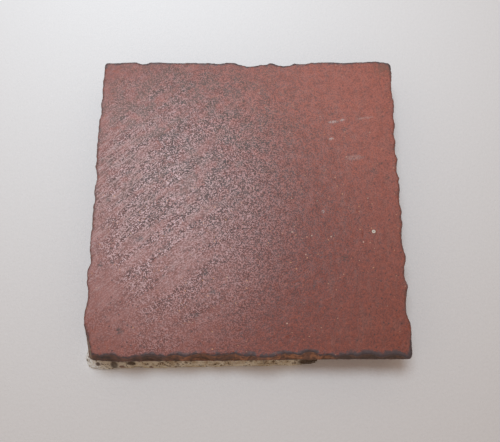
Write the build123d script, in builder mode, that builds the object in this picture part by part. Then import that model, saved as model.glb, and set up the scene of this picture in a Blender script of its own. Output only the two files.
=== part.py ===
from build123d import *
import math
import os

# A reclaimed square floor tile of plain red clay, lying face up on a level floor.
# Two pieces: the fired clay body, and what is left of the mortar bed that clings to its
# back and has squeezed up past its near side and near left corner.
# Origin: the middle of the nominal square, on the floor. X runs to the right along the
# near side, Y runs away to the far side and Z is up. All sizes are in millimetres.

# Driving dimensions
face_size = 150.0  # a six inch tile, as fired
tile_thickness = 16.0
bed_thickness = 4.0
half_face = face_size / 2

# Section of the sides: a rounded arris, a slight belly and a back that is drawn in
shoulder_drop = 1.0
belly_drop = 6.0
back_inset = 1.4

# Heights above the floor
face_z = bed_thickness + tile_thickness
shoulder_z = face_z - shoulder_drop
belly_z = face_z - belly_drop
back_z = bed_thickness

# How far each side lies from the middle, and the sign of that along X or Y. The tile is a
# little longer than it is wide.
side_place = {"near": 76.2, "right": 75.15, "far": 75.1, "left": 75.05}
side_sign = {"near": -1, "right": 1, "far": 1, "left": -1}

# The corners in order round the plan, with the angle at which each arc starts
corners = {
    "near_right": {"radius": 1.8, "start": -90, "sides": ("right", "near")},
    "far_right": {"radius": 2.0, "start": 0, "sides": ("right", "far")},
    "far_left": {"radius": 1.4, "start": 90, "sides": ("left", "far")},
    "near_left": {"radius": 2.4, "start": 180, "sides": ("left", "near")},
}
# Each side runs from one corner to the next
side_ends = {
    "near": ("near_left", "near_right"),
    "right": ("near_right", "far_right"),
    "far": ("far_right", "far_left"),
    "left": ("far_left", "near_left"),
}

# How far each side bows out past its place: (place along X or Y, distance out)
side_bow = {
    "near": [(-66, 0.9), (-50, 1.1), (-28, 0.9), (-8, 0.7), (10, 0.5), (26, 0.2), (48, 0.0)],
    "right": [(-62, 0.2), (-29, 0.15), (6, 0.0), (24, -0.15), (39, 0.0), (51, 0.15)],
    "far": [
        (68, 0.55),
        (60, 0.35),
        (52, 0.0),
        (43, 0.15),
        (34, 0.0),
        (10, -0.2),
        (-22, 0.0),
        (-40, 0.0),
        (-48, 0.3),
        (-62, 0.15),
    ],
    "left": [(66, 0.15), (50, 0.65), (25, 0.75), (3, 0.3), (-20, 0.35), (-40, 0.45), (-57, 0.4)],
}

# How far in from its side the flat face ends. The near arris is worn along its whole
# length, so its own line is given as for the bow.
arris_wear = {"right": 0.3, "far": 0.2, "left": 0.4}
corner_wear = 0.3
near_arris = [
    (-66, -1.0),
    (-55, -0.7),
    (-42, -1.1),
    (-30, -1.0),
    (-18, -1.4),
    (-2, -1.2),
    (8, -0.9),
    (20, -1.3),
    (34, -1.2),
    (46, -1.0),
    (60, -1.2),
]

# Flakes lost from the arris: (place along X or Y, width along the side, depth into the
# face, drop down the side)
side_chips = {
    "near": [
        (-69, 9, 1.4, 3.0),
        (-62, 12, 1.6, 2.8),
        (-44, 16, 1.4, 4.0),
        (-33, 12, 1.6, 3.2),
        (-21, 16, 2.1, 5.0),
        (-8, 17, 2.1, 4.4),
        (2, 6, 1.3, 2.2),
        (19, 16, 2.2, 4.2),
        (28.5, 11, 3.1, 3.6),
        (36, 9, 1.7, 3.4),
        (45, 12, 1.5, 3.2),
        (55, 15, 2.1, 3.4),
        (67, 12, 1.8, 3.0),
    ],
    "right": [
        (-53, 14, 1.6, 6.4),
        (-47, 6, 1.0, 3.0),
        (-37, 11, 1.2, 5.0),
        (-20, 16, 1.3, 5.4),
        (-9.5, 5, 0.7, 2.2),
        (-0.8, 11, 1.0, 4.2),
        (9, 4, 0.6, 2.0),
        (15.3, 10, 1.1, 4.6),
        (26, 10, 1.2, 5.0),
        (34, 10, 1.2, 4.8),
        (43.5, 7, 0.8, 3.4),
        (60, 15, 0.7, 3.4),
    ],
    "far": [
        (28.5, 11, 1.1, 2.6),
        (19, 13, 2.2, 4.4),
        (8.3, 8, 1.4, 3.0),
        (1.2, 17, 2.4, 4.8),
        (-15.3, 8, 0.8, 2.4),
        (-24, 6, 0.5, 1.8),
        (-34.5, 6, 0.5, 1.8),
        (-54.8, 7, 0.9, 2.6),
    ],
    "left": [
        (55.5, 5, 0.3, 1.8),
        (46.5, 5, 0.3, 1.8),
        (10.8, 8, 0.7, 3.4),
        (-0.5, 5, 0.6, 2.2),
        (-13, 8, 0.2, 1.4),
        (-30.7, 8, 1.0, 3.8),
        (-48.5, 12, 0.9, 4.2),
    ],
}
# Two larger flakes are gone from the near left corner: (x, y, z, radius)
corner_flakes = [
    (-129.7, -86.6, face_z + 17.5, 62.8),
    (-76.9, -82.8, face_z + 2.0, 10.5),
]

# Outline of the mortar bed where it meets the back of the tile. It stands out past the
# near side and the near left corner, and elsewhere has broken away under the tile.
bed_outline = [
    (-78.0, -74.5),
    (-77.2, -78.8),
    (-74.6, -80.4),
    (-67.0, -80.4),
    (-54.0, -79.2),
    (-42.0, -79.6),
    (-30.0, -78.6),
    (-16.0, -79.1),
    (-2.0, -78.6),
    (12.0, -78.6),
    (26.0, -78.1),
    (33.5, -77.2),
    (36.5, -70.5),
    (44.0, -66.0),
    (52.5, -68.5),
    (61.0, -66.5),
    (67.5, -60.0),
    (70.5, -47.0),
    (66.0, -33.5),
    (68.0, -20.0),
    (71.0, -8.0),
    (67.5, 7.0),
    (69.5, 23.0),
    (65.5, 38.0),
    (69.0, 51.5),
    (66.0, 61.5),
    (57.5, 69.0),
    (43.0, 66.0),
    (27.0, 71.0),
    (9.0, 67.0),
    (-8.0, 70.0),
    (-21.0, 66.5),
    (-37.5, 69.5),
    (-55.0, 67.5),
    (-66.0, 60.5),
    (-70.5, 46.0),
    (-66.5, 30.0),
    (-70.0, 14.0),
    (-68.0, -3.0),
    (-71.5, -20.0),
    (-69.0, -37.0),
    (-72.0, -52.0),
    (-75.5, -62.5),
]
# The broken edge runs in under the bed, unevenly: shares of the outline at floor level
undercut = [0.985, 0.965, 0.98, 0.955, 0.975]

# Mortar squeezed up against the tile: (place along X or Y, reach out past the nominal
# square, height above the floor)
near_lip = [
    (-77.0, 4.4, 5.0),
    (-74.5, 5.4, 6.6),
    (-69.0, 5.6, 7.6),
    (-61.0, 5.4, 8.2),
    (-53.0, 4.9, 6.4),
    (-44.0, 5.2, 7.6),
    (-34.0, 4.8, 6.8),
    (-22.0, 4.6, 7.4),
    (-10.0, 4.1, 6.0),
    (1.0, 4.3, 6.8),
    (12.0, 4.0, 6.2),
    (23.0, 3.8, 7.0),
    (33.0, 2.8, 4.6),
]
left_lip = [
    (-79.6, 1.8, 4.6),
    (-75.5, 3.1, 7.2),
    (-70.0, 2.4, 6.6),
    (-65.0, 0.8, 4.6),
]
lip_root = 2.5  # how far the lip reaches in under the side before the tile is cut out

# Pockets broken out of the lip: (x, y, z, radius)
pockets = [
    (-70.0, -82.4, 7.4, 2.8),
    (-57.5, -82.0, 6.0, 2.6),
    (-36.0, -81.6, 6.8, 2.6),
    (-9.0, -81.0, 6.4, 2.8),
    (17.0, -80.8, 6.4, 2.6),
]


def side_point(side, place, out):
    """A point on the plan: its place along the side and its distance from the middle."""
    out *= side_sign[side]
    return (place, out) if side in ("near", "far") else (out, place)


def arc_centre(name, inset):
    """Centre of a corner's arc, with the corner's two sides drawn in by the inset."""
    away = inset + corners[name]["radius"]
    return tuple(side_sign[side] * (side_place[side] - away) for side in corners[name]["sides"])


def tile_outline(inset, offsets, end_inset=0.0):
    """Draws the tile's plan: one curve for each side and an arc at each corner.

    The offsets are distances out past the side's place, and the inset draws it all in.
    """
    for side, (first, last) in side_ends.items():
        axis = 0 if side in ("near", "far") else 1
        start = arc_centre(first, inset + end_inset)[axis]
        stop = arc_centre(last, inset + end_inset)[axis]
        out = side_place[side] - inset
        stations = sorted(offsets[side], reverse=start > stop)
        points = [side_point(side, start, out - end_inset)]
        points += [side_point(side, place, out + bow) for place, bow in stations]
        points.append(side_point(side, stop, out - end_inset))
        Spline(*points)
        CenterArc(arc_centre(last, inset + end_inset), corners[last]["radius"], corners[last]["start"], 90)


def chip_ball(side, place, width, depth, drop):
    """Centre and radius of the ball whose cut through the arris has these three sizes."""
    reach = (width**2 / (4 * depth) + depth) / 2
    above = (width**2 / 4 - drop**2) / (2 * drop)
    x, y = side_point(side, place, side_place[side] + reach - depth)
    return (x, y, face_z + above), math.hypot(reach, above)


def lip_section(reach, height):
    """Half a mound of mortar: points with the nominal square at zero and out as minus."""
    return [
        (lip_root, 0),
        (-reach, 0),
        (-reach, 0.3 * height),
        (-0.7 * reach, 0.7 * height),
        (-0.2 * reach, height),
        (lip_root, height),
    ]


# The tile
with BuildPart() as tile:
    worn_face = {
        side: [(place, out - wear) for place, out in side_bow[side]] for side, wear in arris_wear.items()
    }
    worn_face["near"] = near_arris
    with BuildSketch(Plane.XY.offset(back_z)):
        with BuildLine():
            tile_outline(back_inset, side_bow)
        make_face()
    with BuildSketch(Plane.XY.offset(belly_z)):
        with BuildLine():
            tile_outline(0, side_bow)
        make_face()
    with BuildSketch(Plane.XY.offset(shoulder_z)):
        with BuildLine():
            tile_outline(0, side_bow)
        make_face()
    with BuildSketch(Plane.XY.offset(face_z)):
        with BuildLine():
            tile_outline(0, worn_face, corner_wear)
        make_face()
    loft(ruled=True)

    for side, chips in side_chips.items():
        for chip in chips:
            centre, radius = chip_ball(side, *chip)
            with Locations(centre):
                Sphere(radius, mode=Mode.SUBTRACT)
    for x, y, z, radius in corner_flakes:
        with Locations((x, y, z)):
            Sphere(radius, mode=Mode.SUBTRACT)

# The mortar bed
with BuildPart() as mortar:
    shares = [undercut[i % len(undercut)] for i in range(len(bed_outline))]
    floor_outline = [(share * x, share * y) for share, (x, y) in zip(shares, bed_outline)]
    with BuildSketch(Plane.XY):
        with BuildLine():
            Polyline(*floor_outline, close=True)
        make_face()
    with BuildSketch(Plane.XY.offset(bed_thickness)):
        with BuildLine():
            Polyline(*bed_outline, close=True)
        make_face()
    loft(ruled=True)

    for place, reach, height in near_lip:
        with BuildSketch(Plane(origin=(place, -half_face, 0), x_dir=(0, 1, 0), z_dir=(1, 0, 0))):
            with BuildLine():
                Polyline(*lip_section(reach, height), close=True)
            make_face()
    loft(ruled=True)
    for place, reach, height in left_lip:
        with BuildSketch(Plane(origin=(-half_face, place, 0), x_dir=(1, 0, 0), z_dir=(0, -1, 0))):
            with BuildLine():
                Polyline(*lip_section(reach, height), close=True)
            make_face()
    loft(ruled=True)

    for x, y, z, radius in pockets:
        with Locations((x, y, z)):
            Sphere(radius, mode=Mode.SUBTRACT)
    add(tile.part, mode=Mode.SUBTRACT)

tile.part.label = "tile"
mortar.part.label = "mortar_bed"

os.makedirs("parts", exist_ok=True)
for piece in (tile.part, mortar.part):
    export_step(piece, f"parts/{piece.label}.step")
    print(piece.label, "volume", round(piece.volume), "solids", len(piece.solids()), piece.bounding_box())
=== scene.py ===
"""Looks of a worn square floor tile of red clay with its mortar bed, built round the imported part."""

import itertools
import math

import bpy
import numpy as np
from mathutils import Matrix, Vector, kdtree


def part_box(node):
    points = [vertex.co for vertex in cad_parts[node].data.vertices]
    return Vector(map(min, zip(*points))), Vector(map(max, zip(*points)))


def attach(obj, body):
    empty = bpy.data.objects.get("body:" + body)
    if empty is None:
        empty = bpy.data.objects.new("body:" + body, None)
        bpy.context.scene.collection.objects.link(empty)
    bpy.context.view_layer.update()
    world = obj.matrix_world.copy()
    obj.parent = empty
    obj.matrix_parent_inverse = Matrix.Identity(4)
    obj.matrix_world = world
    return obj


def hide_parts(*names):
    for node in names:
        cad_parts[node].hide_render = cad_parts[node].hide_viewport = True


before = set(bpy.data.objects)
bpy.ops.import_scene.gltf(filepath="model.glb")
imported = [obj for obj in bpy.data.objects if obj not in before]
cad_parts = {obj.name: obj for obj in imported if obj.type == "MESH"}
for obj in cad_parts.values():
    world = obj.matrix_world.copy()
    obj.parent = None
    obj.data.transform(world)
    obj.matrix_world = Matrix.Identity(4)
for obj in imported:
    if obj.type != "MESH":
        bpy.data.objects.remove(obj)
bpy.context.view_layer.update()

# Everything below is in millimetres until it goes into a mesh, as in the part's source
MM = 0.001
half_face = 75.0
back_z, face_z = (round(corner.z / MM, 3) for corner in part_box("tile"))

# Triangles that each piece keeps, and the spacing of its points before that
tile_triangles = 185_000
mortar_triangles = 150_000
point_spacing = 0.5

# Small flakes along the arrises
flake_widths = (2.0, 8.0)
flake_gaps = (1.0, 8.0)
flake_least = 0.1
flake_shares = (0.3, 1.0)  # how much of its depth a flake keeps
flake_reach = 7.0  # how far in from the side the face gives way to a flake

# Heights of the relief on the clay and on the mortar. The sinks keep it inside the part.
flake_grain = 0.12
side_grain = 0.14
side_grit = 0.10
side_sink = 0.03
broken_grain = 0.16
face_dips = 0.05
face_pits = 0.10
mortar_lumps = 0.45
mortar_grit = 0.30
mortar_sand = 0.16
mortar_sink = 0.45
mortar_hollows = 0.5
mortar_pits = 0.25

# The mortar stays smooth where it touches the tile: this far in, and this near the back
contact_margin = 2.0
contact_depth = 0.3

# How far below the face its points lie at most, and the points of the broken edge round it
face_drop = 0.35
edge_drop = 1.6

# The photograph's camera, solved from the four corners of the face
camera_place = (2.07, -84.56, 278.56)
camera_lens = 40.04
camera_nearest = 10.0
camera_turns = [("Z", 0.577), ("X", 15.762), ("Z", -0.552)]

# The soft light stands high and on the far side of where the face shines most
glare_centre = np.array([-25.0, 5.0, face_z])
light_direction = np.array([-0.108, 0.365, 0.925])
light_distance = 1000.0
light_radius = 325.0
light_aim = np.array([-62.0, 200.0, 0.0])  # the middle of its pool, which fades to the near right
light_cone = 46.5
light_blend = 0.7
light_watts = 34.5
light_colour = (0.88, 1.0, 1.11)
world_strength = 0.37
world_colour = (1.0, 0.78, 0.66, 1.0)

# Half the side of the floor
half_floor = 3000.0

# Scuffs on the face: x, y, half length, half width, turn and how strongly each shows
scuffs = [
    (43.6, 40.8, 2.2, 0.7, 4, 0.6),
    (48.2, 41.9, 1.5, 0.6, 10, 0.55),
    (60.0, 43.0, 4.0, 0.6, 8, 0.25),
    (42.2, 31.6, 1.0, 0.6, 30, 0.8),
    (53.4, 21.3, 4.2, 1.3, 5, 0.25),
    (36.8, -6.8, 0.6, 0.8, 0, 0.6),
]

# Dark spots on the face: x, y, half length and half width
spots = [
    (-19.8, -36.5, 1.4, 1.8),
    (-16.2, -45.8, 1.1, 1.5),
    (-63.8, -31.5, 0.9, 1.2),
    (-69.6, -33.2, 1.2, 0.8),
    (49.3, 36.8, 1.2, 1.0),
    (-37.3, 26.8, 2.0, 1.2),
    (-52.0, -20.3, 2.0, 1.5),
    (-56.6, 1.6, 1.6, 1.2),
    (-68.0, -0.7, 1.0, 1.0),
    (-23.4, -56.5, 1.2, 1.0),
    (-58.5, -64.0, 1.6, 1.4),
    (42.6, 45.2, 1.4, 0.9),
    (68.5, 43.5, 1.2, 0.8),
    (66.5, 18.0, 1.2, 0.9),
    (62.5, 14.5, 1.5, 1.1),
    (69.0, 10.5, 1.4, 1.0),
    (73.8, 2.8, 1.6, 0.9),
    (46.4, -29.8, 1.8, 1.4),
]

# The small white bead stuck to the face
bead_place = (60.8, -16.8)


# Shapes


# What lumps multiplies a cell's place and the seed by, to scatter them over all values
cell_factors = (73856093, 19349663, 83492791)
seed_factor = 2654435761
mixing_factor = 1274126177
low_bits = 0xFFFF


def lumps(points, size, seed):
    """Smooth random values from -1 to 1 at the points, with one lump to each size."""
    cell = points / size
    low = np.floor(cell).astype(np.int64)
    part = cell - low
    part = part * part * (3 - 2 * part)
    total = np.zeros(len(points))
    for corner in itertools.product((0, 1), repeat=3):
        key = (low + corner) * cell_factors
        mixed = key[:, 0] ^ key[:, 1] ^ key[:, 2] ^ seed * seed_factor
        mixed = (mixed ^ (mixed >> 13)) * mixing_factor
        mixed = (mixed ^ (mixed >> 16)) & low_bits
        weight = np.prod(np.where(corner, part, 1 - part), axis=1)
        total += weight * (mixed / (low_bits / 2) - 1)
    return total


def rough(points, size, seed, octaves=3):
    """Lumps on lumps, each half the size and half the height of the last."""
    total = np.zeros(len(points))
    for octave in range(octaves):
        total += lumps(points, size / 2**octave, seed + octave) / 2**octave
    return total


def ramp(value, low, high):
    """0 at low, 1 at high and smooth between."""
    share = np.clip((value - low) / (high - low), 0, 1)
    return share * share * (3 - 2 * share)


def read_points(mesh):
    """The mesh's points in millimetres, and their normals."""
    points = np.empty(len(mesh.vertices) * 3, np.float32)
    normals = np.empty(len(mesh.vertices) * 3, np.float32)
    mesh.vertices.foreach_get("co", points)
    mesh.vertex_normals.foreach_get("vector", normals)
    return points.reshape(-1, 3).astype(float) / MM, normals.reshape(-1, 3).astype(float)


def apply_modifiers(piece):
    """Replaces the piece's mesh with the one that its modifiers make."""
    evaluated = piece.evaluated_get(bpy.context.evaluated_depsgraph_get())
    made = bpy.data.meshes.new_from_object(evaluated)
    piece.modifiers.clear()
    piece.data = made


def dense_copy(node, name):
    """A copy of a CAD node with points spaced evenly over it."""
    piece = bpy.data.objects.new(name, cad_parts[node].data.copy())
    bpy.context.scene.collection.objects.link(piece)
    remesh = piece.modifiers.new("even", "REMESH")
    remesh.mode = "VOXEL"
    remesh.voxel_size = point_spacing * MM
    apply_modifiers(piece)
    return piece


def write_points(mesh, points, node):
    """Puts points back into a mesh, and none of them outside the CAD node's box."""
    low, high = (np.array(corner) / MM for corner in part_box(node))
    mesh.vertices.foreach_set("co", (np.clip(points, low, high) * MM).astype(np.float32).ravel())
    mesh.update()


def finish_mesh(piece, node, points, triangles):
    """Puts the moved points back, inside the node's box, and thins the mesh out."""
    write_points(piece.data, points, node)
    thin = piece.modifiers.new("thin", "DECIMATE")
    thin.ratio = triangles / (2 * len(piece.data.polygons))  # each face so far is two triangles
    apply_modifiers(piece)
    thinned, _ = read_points(piece.data)
    write_points(piece.data, thinned, node)
    piece.data.shade_smooth()


def flake_line(places, seed, deepest):
    """How deep small flakes bite at each place along one side of the tile."""
    rng = np.random.default_rng(seed)
    bite = np.zeros(len(places))
    middle = -half_face
    while middle < half_face:
        width = rng.uniform(*flake_widths)
        depth = rng.uniform(flake_least, deepest) * rng.uniform(*flake_shares)
        bow = 1 - ((places - middle) / (width / 2)) ** 2
        bite = np.maximum(bite, depth * bow)
        middle += width / 2 + rng.uniform(*flake_gaps)
    return bite


def mark_arris(piece):
    """Stores on each point of the face how far it is from the broken edge, in millimetres."""
    points, _ = read_points(piece.data)
    drop = face_z - points[:, 2]
    edge = np.flatnonzero((drop > face_drop) & (drop < edge_drop))
    tree = kdtree.KDTree(len(edge))
    for i in edge:
        tree.insert(points[i], int(i))
    tree.balance()
    away = np.zeros(len(points), np.float32)
    on_face = np.flatnonzero(drop <= face_drop)
    away[on_face] = [tree.find(points[i])[2] for i in on_face]
    attribute = piece.data.attributes.new("from_arris", "FLOAT", "POINT")
    attribute.data.foreach_set("value", away)


def shape_tile():
    """The fired tile: small flakes along its arrises, rough broken clay and uneven sides."""
    piece = dense_copy("tile", "clay_tile")
    points, normals = read_points(piece.data)
    drop = face_z - points[:, 2]
    x, y = points[:, 0].copy(), points[:, 1].copy()

    # Distance in from the side, place along it, direction in, how much less a flake bites
    # for each millimetre of drop, its deepest bite and the seed
    sides = [
        (y + half_face, x, (0, 1), 0.8, 0.8, 11),
        (half_face - x, y, (-1, 0), 0.27, 0.25, 12),
        (half_face - y, x, (0, -1), 0.4, 0.25, 13),
        (x + half_face, y, (1, 0), 0.27, 0.25, 14),
    ]
    for inward, place, direction, slope, deepest, seed in sides:
        bite = flake_line(place, seed, deepest)
        bite += flake_grain * np.maximum(0, rough(points * (1, 1, 0.3), size=1.8, seed=seed))
        push = np.maximum(0, bite - slope * drop) * np.clip(1 - inward / flake_reach, 0, 1)
        points[:, 0] += direction[0] * push
        points[:, 1] += direction[1] * push

    # The sides are grainy, most where the clay is broken, and the face has dips and pits
    on_face = 1 - ramp(drop, 0.05, 0.3)
    on_back = 1 - ramp(points[:, 2] - back_z, 0.05, 0.4)
    broken = ramp(drop, 0.15, 0.6) * (1 - ramp(drop, 4.0, 7.0))
    side = (1 - on_face) * (1 - on_back)
    grain = side_grain * rough(points, size=2.6, seed=21)
    grain += side_grit * rough(points * (1, 1, 2.2), size=1.1, seed=22, octaves=2)
    shift = side * (grain - side_sink) + broken * broken_grain * rough(points, size=1.5, seed=23)
    points += normals * shift[:, None]
    dip = face_dips * (1 + rough(points, size=16.0, seed=24, octaves=2))
    dip += face_pits * ramp(rough(points, size=3.2, seed=25, octaves=2), 0.75, 1.2)
    points[:, 2] -= on_face * np.maximum(0, dip)
    finish_mesh(piece, "tile", points, tile_triangles)
    mark_arris(piece)
    return piece


def shape_mortar():
    """The mortar bed: broken edges, sand and pockets, and a rough underside."""
    piece = dense_copy("mortar_bed", "mortar_remnant")
    points, normals = read_points(piece.data)
    inner = half_face - contact_margin
    under_tile = (np.abs(points[:, 0]) < inner) & (points[:, 1] > -inner)
    touching = under_tile & (points[:, 2] > back_z - contact_depth)
    floor_side = 1 - ramp(points[:, 2], 0.1, 0.6)
    relief = mortar_lumps * rough(points, size=5.0, seed=31)
    relief += mortar_grit * rough(points, size=1.9, seed=32, octaves=2)
    relief -= mortar_sink
    relief += mortar_sand * np.abs(lumps(points, size=0.9, seed=33))
    relief[touching] = 0
    points += normals * (relief * (1 - floor_side))[:, None]
    hollow = mortar_hollows * np.maximum(0, rough(points, size=7.0, seed=34))
    hollow += mortar_pits * np.maximum(0, rough(points, size=1.8, seed=35, octaves=2))
    points[:, 2] += floor_side * hollow
    finish_mesh(piece, "mortar_bed", points, mortar_triangles)
    return piece


# Materials


def srgb(red, green, blue):
    """A colour as it is read off a screen, from 0 to 255, as the shader takes it."""
    parts = [c / 255 for c in (red, green, blue)]
    linear = [c / 12.92 if c <= 0.04045 else ((c + 0.055) / 1.055) ** 2.4 for c in parts]
    return (*linear, 1.0)


# The clay's body, browner on the left and redder on the right, what varies in it, and painted shade
# towards the near right
left_red = srgb(152, 89, 78)
right_red = srgb(180, 99, 80)
light_mottle = srgb(160, 94, 80)
dark_mottle = srgb(114, 64, 54)
# Painted shade, laid on darker towards the near right
shaded_red = srgb(116, 62, 48)
near_red = srgb(144, 74, 56)
# Partly the clay's own tone and partly painted shade, below the middle
deep_red_and_shade = srgb(134, 57, 38)
orange_fleck = srgb(178, 92, 66)
brown_fleck = srgb(98, 56, 52)
upright_line = srgb(146, 108, 98)

# What wear and dirt have left on the face, some of it with painted sheen and glints
# Partly dust and partly a painted sheen
pink_dust_and_sheen = srgb(174, 117, 108)
face_grime = srgb(90, 78, 64)
# Partly rubbed grain and partly painted glints
rubbed_grain_and_glints = srgb(230, 200, 203)
dark_grain = srgb(50, 28, 24)
# Partly wiping marks and partly painted glints
pale_streak_and_glints = srgb(192, 158, 154)
dark_streak = srgb(112, 68, 60)
scuff_grey = srgb(200, 190, 184)
corner_brown = srgb(106, 84, 68)
spot_brown = srgb(70, 54, 48)
bead_rim = srgb(234, 226, 212)
bead_hollow = srgb(150, 138, 128)

# The arris and the broken clay below it
arris_dirt = srgb(122, 88, 80)
dark_skin = srgb(46, 47, 54)
grey_skin = srgb(84, 80, 82)
dark_rust = srgb(112, 78, 60)
light_rust = srgb(178, 122, 88)
grey_dirt = srgb(72, 68, 68)
brown_dirt = srgb(136, 98, 86)
right_dirt = srgb(84, 72, 68)
near_dirt = srgb(66, 56, 52)
end_dirt = srgb(124, 84, 74)
# Painted shadow along the foot of the near side, above the mortar
contact_shadow_brown = srgb(62, 44, 26)
mortar_dust = srgb(156, 140, 116)

# The tile's sides and back
dark_side = srgb(98, 58, 48)
light_side = srgb(140, 86, 70)
mortar_film = srgb(158, 146, 126)

# The mortar
dark_paste = srgb(204, 186, 154)
light_paste = srgb(240, 231, 208)
grey_paste = srgb(246, 245, 240)
light_sand = srgb(228, 220, 198)
dark_sand = srgb(112, 88, 62)
mortar_stain = srgb(108, 82, 56)

# Spacing of the sand grains in the mortar
sand_size = 0.9

# The floor
dark_floor = srgb(234, 234, 233)
light_floor = srgb(241, 241, 240)

# Specks in the clay: spacing, radius and cells left empty, as shares, and colour
specks = [
    (2.6, 0.16, 0.86, srgb(212, 152, 108)),
    (3.1, 0.15, 0.90, srgb(214, 178, 156)),
    (1.9, 0.17, 0.84, srgb(204, 152, 118)),
    (2.1, 0.24, 0.70, srgb(84, 52, 48)),
]

# Dark pockets in the mortar's lip, with painted shade in them, and a dark brown patch under the tile:
# centre, half length, half width and colour
pockets = [
    ((-63.3, -78.6, 5), 1.8, 1.8, srgb(92, 80, 68)),
    ((-55.4, -77.9, 5), 2.1, 0.8, srgb(58, 34, 20)),
    ((-71.2, -78.2, 5), 1.1, 0.8, srgb(80, 56, 46)),
    ((-59.8, -79.4, 4), 1.3, 0.5, srgb(124, 84, 62)),
    ((-46.1, -79.6, 4), 1.0, 0.5, srgb(124, 84, 62)),
    ((29.3, -77.2, 4), 5.0, 1.9, srgb(62, 38, 20)),
]


class Paint:
    """Adds nodes to one material. Sizes and places are in millimetres in the part's frame."""

    def __init__(self, name):
        self.material = bpy.data.materials.new(name)
        self.material.use_nodes = True
        self.tree = self.material.node_tree
        self.shader = self.tree.nodes["Principled BSDF"]
        coordinates = self.tree.nodes.new("ShaderNodeTexCoord").outputs["Object"]
        self.place = self.vector("MULTIPLY", coordinates, (1 / MM,) * 3)
        self.x, self.y, self.z = self.node("ShaderNodeSeparateXYZ", {0: self.place}).outputs
        self.colour = None  # until the first layer sets it

    def node(self, kind, inputs, **settings):
        """A new node. Each input takes a value or another node's output."""
        made = self.tree.nodes.new(kind)
        for name, value in settings.items():
            setattr(made, name, value)
        for name, value in inputs.items():
            if isinstance(value, bpy.types.NodeSocket):
                self.tree.links.new(value, made.inputs[name])
            else:
                made.inputs[name].default_value = value
        return made

    def vector(self, operation, a, b):
        """One operation on two vectors."""
        return self.node("ShaderNodeVectorMath", {0: a, 1: b}, operation=operation).outputs[0]

    def math(self, operation, a, b=0.0):
        """One operation on two values."""
        return self.node("ShaderNodeMath", {0: a, 1: b}, operation=operation).outputs[0]

    def times(self, *values):
        """The values multiplied."""
        product = values[0]
        for value in values[1:]:
            product = self.math("MULTIPLY", product, value)
        return product

    def sum(self, *values):
        """The values added up."""
        total = values[0]
        for value in values[1:]:
            total = self.math("ADD", total, value)
        return total

    def ramp(self, value, low, high, start=0.0, end=1.0):
        """From start at low to end at high, and level outside them."""
        inputs = {"Value": value, "From Min": low, "From Max": high, "To Min": start, "To Max": end}
        return self.node("ShaderNodeMapRange", inputs, interpolation_type="SMOOTHSTEP").outputs[0]

    def noise(self, size, detail=2.0, roughness=0.5, at=None, warp=0.0):
        """Cloudy values from 0 to 1, mostly near a half, with clouds of about this size."""
        inputs = {"Scale": 1 / size, "Detail": detail, "Roughness": roughness, "Distortion": warp}
        inputs["Vector"] = at or self.place
        return self.node("ShaderNodeTexNoise", inputs).outputs["Fac"]

    def cells(self, size, output):
        """The distance or the random colour of cells of about this size."""
        inputs = {"Scale": 1 / size, "Vector": self.place}
        return self.node("ShaderNodeTexVoronoi", inputs).outputs[output]

    def cell_values(self, size):
        """A random value from 0 to 1 for each cell."""
        return self.node("ShaderNodeSeparateColor", {0: self.cells(size, "Color")}).outputs[0]

    def drawn(self, angle, stretch, offset=0.0):
        """Places turned and stretched, so that a texture on them runs in streaks."""
        inputs = {"Vector": self.place, "Angle": math.radians(-angle)}
        turned = self.node("ShaderNodeVectorRotate", inputs, rotation_type="Z_AXIS").outputs[0]
        shifted = self.vector("ADD", turned, (offset, offset, 0))
        return self.vector("MULTIPLY", shifted, (1 / stretch, 1, 1))

    def blob(self, centre, size, turn=0.0, soft=0.5):
        """1 in the middle of an ellipsoid and 0 outside it. Size is its half lengths."""
        inputs = {
            "Vector": self.place,
            "Location": centre,
            "Rotation": (0, 0, math.radians(turn)),
            "Scale": size,
        }
        local = self.node("ShaderNodeMapping", inputs, vector_type="TEXTURE").outputs[0]
        length = self.node("ShaderNodeVectorMath", {0: local}, operation="LENGTH").outputs["Value"]
        return self.ramp(length, 1 - soft, 1 + soft, 1, 0)

    def mix(self, share, a, b):
        """From colour a to colour b. Inputs 6 and 7 of the node are its colours."""
        return self.node("ShaderNodeMix", {0: share, 6: a, 7: b}, data_type="RGBA").outputs[2]

    def blend(self, share, a, b):
        """From value a to value b. Inputs 2 and 3 of the node are its values."""
        return self.node("ShaderNodeMix", {0: share, 2: a, 3: b}).outputs[0]

    def coat(self, colour, *shares):
        """Lays a colour over what is there, as strongly as its shares multiplied say."""
        self.colour = self.mix(self.times(*shares), self.colour, colour)

    def use(self, roughness, height):
        """Ends the material. Height is in millimetres."""
        bump = self.node("ShaderNodeBump", {"Height": height, "Distance": MM})
        self.tree.links.new(self.colour, self.shader.inputs["Base Color"])
        self.tree.links.new(roughness, self.shader.inputs["Roughness"])
        self.tree.links.new(bump.outputs[0], self.shader.inputs["Normal"])
        return self.material


class ClayPaint(Paint):
    """Paint for the tile, with what more than one of its layers needs."""

    def __init__(self, name):
        super().__init__(name)
        self.drop = self.math("SUBTRACT", face_z, self.z)
        self.clouds = self.noise(14, 4, 0.6)
        # Smooth bands that run up to the right, left by wiping
        self.bands = self.ramp(self.noise(5.5, 3, 0.6, at=self.drawn(38, 5), warp=0.4), 0.36, 0.64)
        # The near side, and the left and right sides without their corners
        self.near_side = self.ramp(self.y, -66, -73)
        self.ends = self.times(
            self.ramp(self.math("ABSOLUTE", self.x), 68, 73),
            self.ramp(self.y, -72, -60),
            self.ramp(self.y, 73, 66),
        )

    def spot(self, x, y, length, width, turn=0.0, soft=0.5):
        """A small blob on the face, from its half length and half width."""
        return self.blob((x, y, face_z), (length, width, 1), turn, soft)


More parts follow.
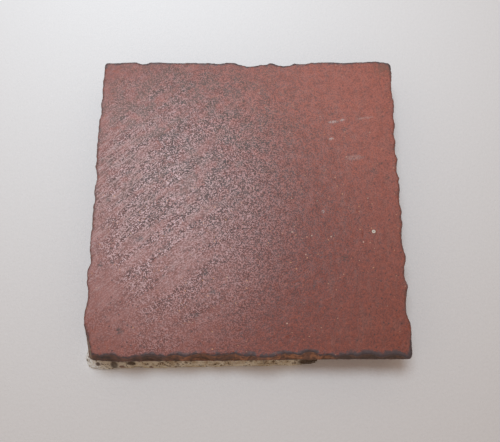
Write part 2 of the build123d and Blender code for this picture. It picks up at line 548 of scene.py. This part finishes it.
def clay_body(p):
    """The clay's colour: redder to the right, darker to the near side, partly as painted shade,
    mottled and flecked.
    """
    redder = p.ramp(p.sum(p.x, p.times(p.clouds, 60)), -30, 90)
    p.colour = p.mix(redder, left_red, right_red)
    mottle = p.noise(5, 4, 0.65)
    p.coat(light_mottle, p.ramp(mottle, 0.42, 0.68, 0, 0.45))
    p.coat(dark_mottle, p.ramp(mottle, 0.58, 0.34, 0, 0.35))
    # Painted shade: darker towards the near right
    p.coat(shaded_red, p.ramp(p.x, -70, 60), p.ramp(p.y, 40, -80), 0.4)
    p.coat(near_red, p.ramp(p.y, -28, -75, 0, 0.6))
    # A darker, redder zone below the middle: partly the clay's tone, partly painted shade
    p.coat(deep_red_and_shade, p.blob((14, -32, face_z), (46, 52, 60), soft=0.8), 0.75)
    flecks = p.noise(1.2, 2, 0.6)
    p.coat(orange_fleck, p.ramp(flecks, 0.54, 0.66), 0.45)
    p.coat(brown_fleck, p.ramp(flecks, 0.44, 0.34), 0.45)
    upright = p.times(p.noise(2.4, 3, 0.6, at=p.drawn(88, 4)), p.ramp(p.x, 5, 40))
    p.coat(upright_line, p.ramp(upright, 0.5, 0.66), 0.2)


def clay_grain(p):
    """The open grain of the face and what is rubbed into it, with painted glints on its pale grains.
    Returns its height.
    """
    # It shows most left of the middle and fades to the right, with a smooth margin along
    # the left side that widens towards the near corner
    smooth = p.times(p.bands, p.ramp(p.x, 20, -30))
    nearer = p.ramp(p.y, -60, -20, -16, 0)
    margin = p.ramp(p.sum(p.x, p.times(p.clouds, 14), nearer), -70, -52)
    grainy = p.sum(p.times(p.blob((-30, 0, face_z), (58, 58, 60), soft=0.85), 0.66), 0.34)
    grainy = p.times(grainy, p.ramp(smooth, 0, 1, 1, 0.4), p.ramp(margin, 0, 1, 0.4, 1))
    pale = p.blob((-50, -4, face_z), (50, 54, 60), soft=0.8)
    pale = p.times(pale, p.ramp(smooth, 0, 1, 1, 0.5), p.ramp(margin, 0, 1, 0.45, 1))

    # Pale pink on the left, most in the smooth bands: partly dust, partly a painted sheen
    dust_and_sheen = p.blob((-57, -8, face_z), (46, 52, 60), 20, soft=0.7)
    p.coat(pink_dust_and_sheen, dust_and_sheen, p.ramp(p.bands, 0, 1, 0.3, 0.85))

    # Fine grain, which wiping has drawn out on the left, flatter towards the middle
    wiped = p.blob((-58, -4, face_z), (38, 44, 60), soft=0.6)
    wiped = p.times(wiped, p.ramp(p.noise(20, 2), 0.3, 0.5))
    inner = p.ramp(p.x, -52, -32)
    steep_grain = p.noise(0.46, 1, 0.5, at=p.drawn(43, 1.4))
    flat_grain = p.noise(0.46, 1, 0.5, at=p.drawn(32, 1.4, 30))
    drawn_grain = p.blend(inner, steep_grain, flat_grain)
    fine = p.blend(p.ramp(wiped, 0.3, 0.6), p.noise(0.52, 1, 0.5), drawn_grain)

    # Grime, then the grain: pale where it is rubbed, partly as painted glints, and dark between
    grimy = p.blob((-34, 34, face_z), (56, 46, 40), 20, soft=0.6)
    patches = p.ramp(p.noise(6, 3, 0.6), 0.38, 0.60)
    p.coat(face_grime, grimy, patches, p.ramp(fine, 0.62, 0.48), 0.75)
    # Pale grains: partly rubbed, partly painted glints
    p.coat(rubbed_grain_and_glints, pale, p.ramp(fine, 0.53, 0.59), 0.95)
    p.coat(dark_grain, grainy, p.ramp(fine, 0.50, 0.44), 0.95)

    # Lines from wiping, the pale ones partly painted glints
    steep_streaks = p.noise(0.62, 1, 0.5, at=p.drawn(44, 14), warp=0.2)
    flat_streaks = p.noise(0.62, 1, 0.5, at=p.drawn(31, 14, 50), warp=0.2)
    streaks = p.blend(inner, steep_streaks, flat_streaks)
    p.coat(pale_streak_and_glints, wiped, p.ramp(streaks, 0.56, 0.63), 0.65)
    p.coat(dark_streak, wiped, p.ramp(streaks, 0.44, 0.37), 0.35)
    return p.sum(p.times(fine, grainy, 0.14), p.times(streaks, wiped, 0.10))


def clay_specks(p):
    """Small ochre and cream grains and dark pits in the clay, fainter on the far side."""
    strength = p.ramp(p.y, 40, -20, 0.4, 0.85)
    for spacing, radius, empty, colour in specks:
        grains = p.ramp(p.cells(spacing, "Distance"), radius * 0.6, radius, 1, 0)
        chosen = p.ramp(p.cell_values(spacing), empty, empty + 0.03)
        p.coat(colour, grains, chosen, strength)


def clay_marks(p):
    """Scuffs, dirt and spots on the face, and the bead."""
    scrape = p.ramp(p.noise(0.8, 2, 0.6), 0.36, 0.56)
    for x, y, length, width, turn, share in scuffs:
        p.coat(scuff_grey, p.spot(x, y, length, width, turn), scrape, share)
    corner_dirt = p.blob((72, 72, face_z), (6, 4, 9), soft=0.8)
    p.coat(corner_brown, corner_dirt, p.ramp(p.noise(1.6, 3, 0.6), 0.35, 0.6), 0.55)
    patchy = p.ramp(p.noise(1.1, 2, 0.6), 0.62, 0.42)
    for x, y, length, width in spots:
        p.coat(spot_brown, p.spot(x, y, length, width, soft=0.7), patchy, 0.75)
    p.coat(bead_rim, p.spot(*bead_place, 0.9, 0.9, soft=0.25), 0.9)
    p.coat(bead_hollow, p.spot(*bead_place, 0.4, 0.4, soft=0.3), 0.8)


def clay_arris(p):
    """Dirt and dark skin along every arris, in wider patches near and fainter at the ends."""
    away = p.node("ShaderNodeAttribute", {}, attribute_name="from_arris").outputs["Fac"]
    face = p.ramp(p.drop, 0.25, 0.5, 1, 0)
    p.coat(arris_dirt, face, p.ramp(away, 1.8, 0.4, 0, 0.6))
    wander = p.noise(3.0, 3, 0.6)
    patches = p.times(p.ramp(wander, 0.36, 0.60), p.ramp(p.x, -75, 10, 0.5, 1.7))
    patches = p.sum(patches, p.ramp(p.x, 30, 50, 0, 1.4))
    width = p.sum(
        p.ramp(wander, 0.36, 0.60, 0.6, 1.3),
        p.times(p.ramp(p.y, -70, -74), patches),
        p.ramp(p.y, 70, 73.5, 0, 0.5),
    )
    skin = p.ramp(p.math("DIVIDE", away, width), 0.35, 1.25, 1, 0)
    skin_colour = p.mix(p.noise(1.4, 2, 0.6), dark_skin, grey_skin)
    p.coat(skin_colour, face, skin, p.ramp(p.ends, 0, 1, 0.85, 0.4))


def clay_chips(p):
    """Broken clay below the arris: rust on the near side, dark and dirty on the others."""
    chip = p.times(p.ramp(p.drop, 0.2, 0.5), p.ramp(p.drop, 8, 4.5))
    rust = p.mix(p.ramp(p.noise(1.8, 3, 0.6), 0.35, 0.65), dark_rust, light_rust)
    dirt = p.mix(p.ramp(p.noise(2.8, 3, 0.6), 0.35, 0.65), grey_dirt, brown_dirt)
    dirt = p.mix(p.ramp(p.x, 34, 44), dirt, right_dirt)
    dirt = p.mix(p.times(p.near_side, 0.45), dirt, near_dirt)
    dirt = p.mix(p.times(p.ends, 0.75), dirt, end_dirt)
    middle = p.times(p.ramp(p.x, -48, -28), p.ramp(p.x, 44, 34))
    rusty = p.times(
        p.near_side,
        p.ramp(p.noise(6, 2), 0.35, 0.6, 0.3, 1),
        p.ramp(middle, 0, 1, 0.2, 1),
    )
    p.coat(p.mix(rusty, dirt, rust), chip)

    # A painted shadow line just above the mortar, and the mortar's pale dust at the near left corner
    contact_shadow = p.ramp(p.drop, 2.4, 4.2)
    p.coat(contact_shadow_brown, contact_shadow, p.near_side, p.ramp(p.noise(2.4, 2), 0.3, 0.6), 0.75)
    near_corner = p.blob((-75, -73, face_z - 3), (4, 6, 8), soft=0.4)
    p.coat(mortar_dust, near_corner, p.ramp(p.drop, 0.2, 0.6), 0.8)


def clay_flanks(p):
    """Fired sides and back, with a film of old mortar low down."""
    fired = p.mix(p.noise(7, 4, 0.6), dark_side, light_side)
    film = p.times(p.ramp(p.noise(5, 4, 0.65), 0.45, 0.62), p.ramp(p.z, 13, 6))
    fired = p.mix(p.times(film, 0.55), fired, mortar_film)
    p.coat(fired, p.ramp(p.drop, 4.5, 8))


def clay_material():
    """Red clay: the worn face in layers from the body up, the broken clay and the sides."""
    p = ClayPaint("worn_red_clay")
    clay_body(p)
    grain_height = clay_grain(p)
    clay_specks(p)
    clay_marks(p)
    clay_arris(p)
    clay_chips(p)
    clay_flanks(p)

    # Relief of the grain, of an uneven face and of the bead
    uneven = p.noise(2.6, 2, 0.5)
    bead = p.spot(*bead_place, 1.0, 1.0, soft=0.3)
    height = p.sum(grain_height, p.times(uneven, 0.06), p.times(bead, 0.3))

    # The face has a dull sheen and the broken clay is matt
    worn = p.ramp(p.noise(4, 3, 0.6), 0.3, 0.7, 0.40, 0.50)
    broken = p.ramp(p.drop, 0.3, 0.8, 0.3, 0.85)
    return p.use(p.math("MAXIMUM", worn, broken), height)


def mortar_material():
    """Lime mortar: buff paste, grey at the left end, with sand, stains and dark pockets whose shade is
    painted on.
    """
    p = Paint("old_mortar")
    paste = p.ramp(p.noise(4, 4, 0.6), 0.35, 0.65)
    p.colour = p.mix(paste, dark_paste, light_paste)
    p.coat(grey_paste, p.ramp(p.sum(p.x, p.times(p.noise(8, 2), 30)), -42, -62))
    sand = p.cell_values(sand_size)
    p.coat(light_sand, p.ramp(sand, 0.70, 0.85, 0, 0.75))
    p.coat(dark_sand, p.ramp(sand, 0.22, 0.10, 0, 0.75))
    p.coat(mortar_stain, p.ramp(p.noise(4.5, 4, 0.65), 0.55, 0.68), 0.75)
    # Painted shade in the mortar's pockets, and the dark brown patch under the tile
    for centre, length, width, colour in pockets:
        p.coat(colour, p.blob(centre, (length, width, 6), soft=0.35), 0.85)
    grains = p.times(p.cells(sand_size, "Distance"), -0.35)
    height = p.sum(grains, p.times(p.noise(1.6, 4, 0.65), 0.6))
    return p.use(p.ramp(sand, 0, 1, 0.80, 0.95), height)


def floor_material():
    """A plain pale floor with a faint grain."""
    p = Paint("pale_floor")
    p.colour = p.mix(p.noise(1.5, 2, 0.6), dark_floor, light_floor)
    return p.use(p.ramp(p.noise(3, 2), 0, 1, 0.55, 0.75), p.times(p.noise(1.3, 3, 0.6), 0.25))


# The two pieces

for make, paint, node, slot in [
    (shape_tile, clay_material, "tile", "red_clay"),
    (shape_mortar, mortar_material, "mortar_bed", "mortar"),
]:
    piece = make()
    piece.data.materials.clear()
    piece.data.materials.append(paint())
    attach(piece, "root")
    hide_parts(node)
    print(piece.name, len(piece.data.polygons), "faces")

# Floor

floor_mesh = bpy.data.meshes.new("floor")
floor_edge = half_floor * MM
floor_signs = [(-1, -1), (1, -1), (1, 1), (-1, 1)]
floor_corners = [(x * floor_edge, y * floor_edge, 0) for x, y in floor_signs]
floor_mesh.from_pydata(floor_corners, [], [(0, 1, 2, 3)])
floor_mesh.materials.append(floor_material())
floor = bpy.data.objects.new("floor", floor_mesh)
bpy.context.scene.collection.objects.link(floor)

# Light

light_data = bpy.data.lights.new("soft_light", "SPOT")
light_data.shadow_soft_size = light_radius * MM
light_data.spot_size = math.radians(light_cone)
light_data.spot_blend = light_blend
light_data.energy = light_watts
light_data.color = light_colour
light = bpy.data.objects.new("soft_light", light_data)
bpy.context.scene.collection.objects.link(light)
to_light = light_direction / np.linalg.norm(light_direction)
light.location = (glare_centre + light_distance * to_light) * MM
light.rotation_mode = "QUATERNION"
light.rotation_quaternion = (light.location - Vector(light_aim * MM)).to_track_quat("Z", "Y")

world = bpy.data.worlds.new("studio")
world.use_nodes = True
background = world.node_tree.nodes["Background"]
background.inputs["Color"].default_value = world_colour
background.inputs["Strength"].default_value = world_strength
bpy.context.scene.world = world

# Camera

camera_data = bpy.data.cameras.new("camera")
camera_data.lens = camera_lens
camera_data.clip_start = camera_nearest * MM
camera = bpy.data.objects.new("camera", camera_data)
bpy.context.scene.collection.objects.link(camera)
turn = Matrix.Identity(4)
for axis, degrees in camera_turns:
    turn = turn @ Matrix.Rotation(math.radians(degrees), 4, axis)
camera.matrix_world = Matrix.Translation([c * MM for c in camera_place]) @ turn
bpy.context.scene.camera = camera
bpy.context.scene.view_settings.view_transform = "Standard"
